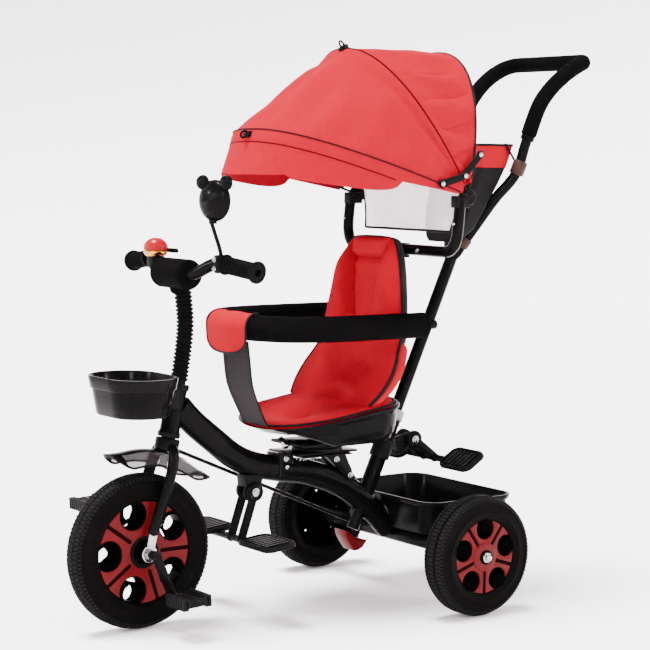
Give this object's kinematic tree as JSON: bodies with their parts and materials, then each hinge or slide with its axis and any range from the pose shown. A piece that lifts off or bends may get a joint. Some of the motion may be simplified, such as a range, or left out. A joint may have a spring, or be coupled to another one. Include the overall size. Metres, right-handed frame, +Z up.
{
  "type": "children's tricycle",
  "caption": "Ride-on toddler tricycle with a swivelling padded seat, guard ring, folding canopy, baskets, folding footrests and a push handle that steers.",
  "frame": {"origin": "on the floor, under the middle of the bounding box", "axes": "+Z up, -Y towards the front wheel, +X towards the rider's left"},
  "size_m": [0.524, 1.015, 0.9562],
  "materials": {
    "black_paint": "gloss",
    "black_plastic": "gloss",
    "black_foam": "matte",
    "grip_rubber": "matte",
    "tyre_rubber": "matte",
    "red_plastic": "satin",
    "red_fabric": "matte",
    "grey_webbing": "matte",
    "black_fabric": "matte",
    "mesh_cloth": "matte",
    "smoky_plastic": "gloss",
    "steel": "polished",
    "gold_metal": "polished"
  },
  "bodies": {
    "frame": {"main_tube": "black_paint", "head_tube": "black_paint", "rear_cross_tube": "black_paint", "rear_axle": "steel", "pole_sleeve": "black_paint", "seat_carrier": "black_paint", "front_footrest_lug": "black_paint", "rear_footrest_lug": "black_paint", "front_basket": "black_plastic", "rear_basket": "black_plastic"},
    "steering": {"fork": "black_paint", "mudguard": "smoky_plastic", "stem_bellows": "black_foam", "stem_foam": "black_foam", "handlebar": "black_paint", "grip_left": "grip_rubber", "grip_right": "grip_rubber", "bell": "gold_metal", "mirror_stem": "black_plastic"},
    "front_wheel": {"front_tyre": "tyre_rubber", "front_rim": "red_plastic", "crank_axle": "steel"},
    "left_pedal": {"pedal_left": "black_plastic"},
    "right_pedal": {"pedal_right": "black_plastic"},
    "left_rear_wheel": {"rear_tyre_left": "tyre_rubber", "rear_rim_left": "red_plastic"},
    "right_rear_wheel": {"rear_tyre_right": "tyre_rubber", "rear_rim_right": "red_plastic"},
    "seat": {"turntable_top": "black_paint", "seat_shell": "black_plastic", "seat_pad": "red_fabric", "back_pad": "red_fabric", "seat_back_shell": "black_plastic", "guard_foam": "black_foam", "guard_tube": "black_paint", "crotch_strap": "grey_webbing", "canopy_frame": "black_paint", "canopy_rib_back": "black_paint", "canopy_back_panel": "red_fabric", "mesh_curtain": "mesh_cloth"},
    "canopy_middle": {"canopy_rib_mid": "black_paint"},
    "canopy_front": {"canopy_rib_front": "black_paint", "canopy_front_panel": "red_fabric", "canopy_visor": "red_fabric"},
    "left_rear_stay": {"stay_rear_left": "black_plastic"},
    "right_rear_stay": {"stay_rear_right": "black_plastic"},
    "left_front_stay": {"stay_front_left": "black_plastic"},
    "right_front_stay": {"stay_front_right": "black_plastic"},
    "handle": {"push_pole": "black_paint", "push_handle": "black_paint", "handle_foam": "black_foam", "storage_bag": "black_fabric"},
    "clutch": {"clutch_lever": "red_plastic"},
    "link": {"steering_link": "black_paint"},
    "bell_thumb_lever": {"bell_lever": "black_plastic"},
    "mirror": {"mirror_head": "black_plastic"},
    "front_footrest_body": {"front_footrest": "black_plastic"},
    "rear_footrest_body": {"rear_footrest": "black_plastic"},
    "lock": {"swivel_lock": "steel"}
  },
  "joints": [
    {"name": "steering_turn", "type": "hinge", "parent": "frame", "child": "steering", "pos_m": [0, -0.32689, 0.308], "axis": [0, 0.2079, 0.9781], "range_deg": [-25, 25]},
    {"name": "front_wheel_spin", "type": "hinge", "parent": "steering", "child": "front_wheel", "pos_m": [0, -0.38139, 0.127], "axis": [1, 0, 0], "continuous": true},
    {"name": "left_pedal_spin", "type": "hinge", "parent": "front_wheel", "child": "left_pedal", "pos_m": [0.118, -0.35292, 0.06305], "axis": [1, 0, 0], "continuous": true},
    {"name": "right_pedal_spin", "type": "hinge", "parent": "front_wheel", "child": "right_pedal", "pos_m": [-0.118, -0.40986, 0.19095], "axis": [1, 0, 0], "continuous": true},
    {"name": "left_rear_wheel_spin", "type": "hinge", "parent": "frame", "child": "left_rear_wheel", "pos_m": [0.23, 0.13861, 0.102], "axis": [1, 0, 0], "continuous": true},
    {"name": "right_rear_wheel_spin", "type": "hinge", "parent": "frame", "child": "right_rear_wheel", "pos_m": [-0.23, 0.13861, 0.102], "axis": [1, 0, 0], "continuous": true},
    {"name": "seat_swivel", "type": "hinge", "parent": "frame", "child": "seat", "pos_m": [0, -0.02939, 0.27], "axis": [0, 0, 1], "range_deg": [0, 180]},
    {"name": "swivel_lock_pull", "type": "slide", "parent": "seat", "child": "lock", "axis": [0, -1, 0], "range_m": [0, 0.006], "stiffness_N_per_m": 120},
    {"name": "canopy_fold", "type": "hinge", "parent": "seat", "child": "canopy_middle", "pos_m": [0, 0.16661, 0.7], "axis": [-1, 0, 0], "range_deg": [0, 35], "deforming": ["canopy_back_panel"]},
    {"name": "canopy_front_fold", "type": "hinge", "parent": "canopy_middle", "child": "canopy_front", "pos_m": [0, 0.16661, 0.7], "axis": [-1, 0, 0], "range_deg": [0, 35], "deforming": ["canopy_front_panel"]},
    {"name": "left_rear_stay_turn", "type": "hinge", "parent": "seat", "child": "left_rear_stay", "pos_m": [0, 0.18089, 0.7721], "axis": [1, 0, 0], "range_deg": [0, 31]},
    {"name": "left_front_stay_turn", "type": "hinge", "parent": "canopy_front", "child": "left_front_stay", "pos_m": [0, 0.09667, 0.72259], "axis": [-1, 0, 0], "range_deg": [0, 31]},
    {"name": "right_rear_stay_turn", "type": "hinge", "parent": "seat", "child": "right_rear_stay", "pos_m": [0, 0.18089, 0.7721], "axis": [1, 0, 0], "range_deg": [0, 31]},
    {"name": "right_front_stay_turn", "type": "hinge", "parent": "canopy_front", "child": "right_front_stay", "pos_m": [0, 0.09667, 0.72259], "axis": [-1, 0, 0], "range_deg": [0, 31]},
    {"name": "push_handle_turn", "type": "hinge", "parent": "frame", "child": "handle", "pos_m": [0, 0.04911, 0.118], "axis": [0, 0.4131, 0.9107], "range_deg": [-25, 25]},
    {"name": "clutch_press", "type": "slide", "parent": "handle", "child": "clutch", "axis": [0, -0.4131, -0.9107], "range_m": [0, 0.008], "stiffness_N_per_m": 120},
    {"name": "link_turn", "type": "hinge", "parent": "steering", "child": "link", "pos_m": [-0.028, -0.3127, 0.29783], "axis": [0, 0.2079, 0.9781], "range_deg": [-25, 25]},
    {"name": "bell_ring", "type": "hinge", "parent": "steering", "child": "bell_thumb_lever", "pos_m": [-0.068, -0.28639, 0.608], "axis": [0, 0, 1], "range_deg": [0, 25], "stiffness_Nm_per_rad": 0.02},
    {"name": "mirror_tilt", "type": "hinge", "parent": "steering", "child": "mirror", "pos_m": [0.112, -0.32239, 0.67], "axis": [1, 0, 0], "range_deg": [-15, 15]},
    {"name": "front_footrest_fold", "type": "hinge", "parent": "frame", "child": "front_footrest_body", "pos_m": [0, -0.16739, 0.205], "axis": [1, 0, 0], "range_deg": [0, 75]},
    {"name": "rear_footrest_fold", "type": "hinge", "parent": "frame", "child": "rear_footrest_body", "pos_m": [0, 0.17161, 0.268], "axis": [1, 0, 0], "range_deg": [0, 70]}
  ],
  "couplings": [
    {"joint": "canopy_front_fold", "follows": "canopy_fold", "ratio": 1},
    {"joint": "push_handle_turn", "follows": "steering_turn", "ratio": 1},
    {"joint": "link_turn", "follows": "steering_turn", "ratio": -1},
    {"joint": "left_rear_stay_turn", "follows": "canopy_fold", "ratio": 0.863},
    {"joint": "left_front_stay_turn", "follows": "canopy_fold", "ratio": 0.86},
    {"joint": "right_rear_stay_turn", "follows": "canopy_fold", "ratio": 0.863},
    {"joint": "right_front_stay_turn", "follows": "canopy_fold", "ratio": 0.86}
  ]
}
